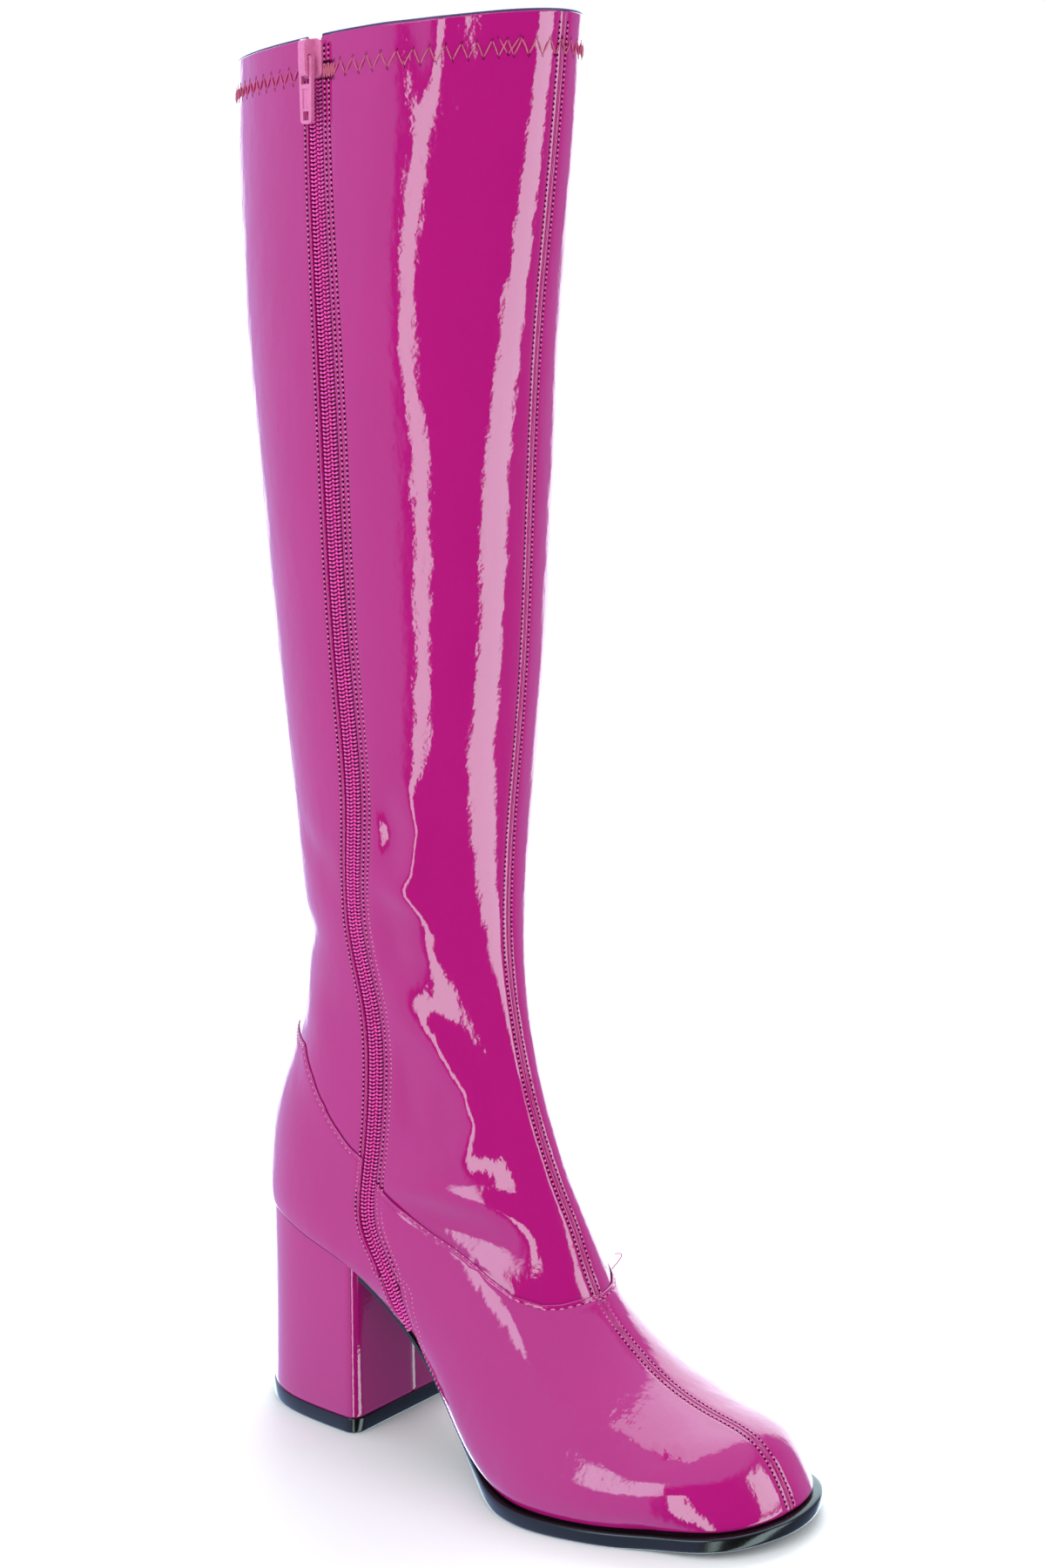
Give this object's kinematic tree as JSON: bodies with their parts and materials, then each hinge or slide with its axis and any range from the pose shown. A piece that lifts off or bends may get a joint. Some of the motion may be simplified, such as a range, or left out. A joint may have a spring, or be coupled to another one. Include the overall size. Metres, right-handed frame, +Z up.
{
  "type": "go go boot",
  "caption": "Knee-high stretch patent boot with a covered block heel, round toe, thin black sole and a full-length inner side zip.",
  "frame": {"origin": "on the floor, under the middle of the block heel's length and width", "axes": "+Z up, -Y towards the toe, -X towards the wearer's other foot, where the zip is"},
  "size_m": [0.0972, 0.2283, 0.4805],
  "materials": {
    "patent": "magenta stretch patent, mirror gloss",
    "lining": "matt knitted lining and sock",
    "sole": "black, polished edge",
    "zip_tape": "woven tape, dyed to match",
    "zip_coil": "nylon coil, dyed to match",
    "zip_metal": "pink lacquer on metal"
  },
  "bodies": {
    "boot": {"upper": "patent", "insole": "lining", "outsole": "sole", "heel": "patent", "top_lift": "sole", "zip_tape_front": "zip_tape", "zip_tape_back": "zip_tape", "zip_coil_front": "zip_coil", "zip_coil_back": "zip_coil", "zip_slider": "zip_metal"},
    "pull": {"zip_pull": "zip_metal"}
  },
  "joints": [
    {"name": "pull_hinge", "type": "hinge", "parent": "boot", "child": "pull", "pos_m": [-0.04618, -0.02647, 0.46696], "axis": [0.0136, 0.9989, -0.0454], "range_deg": [0, 170]}
  ]
}
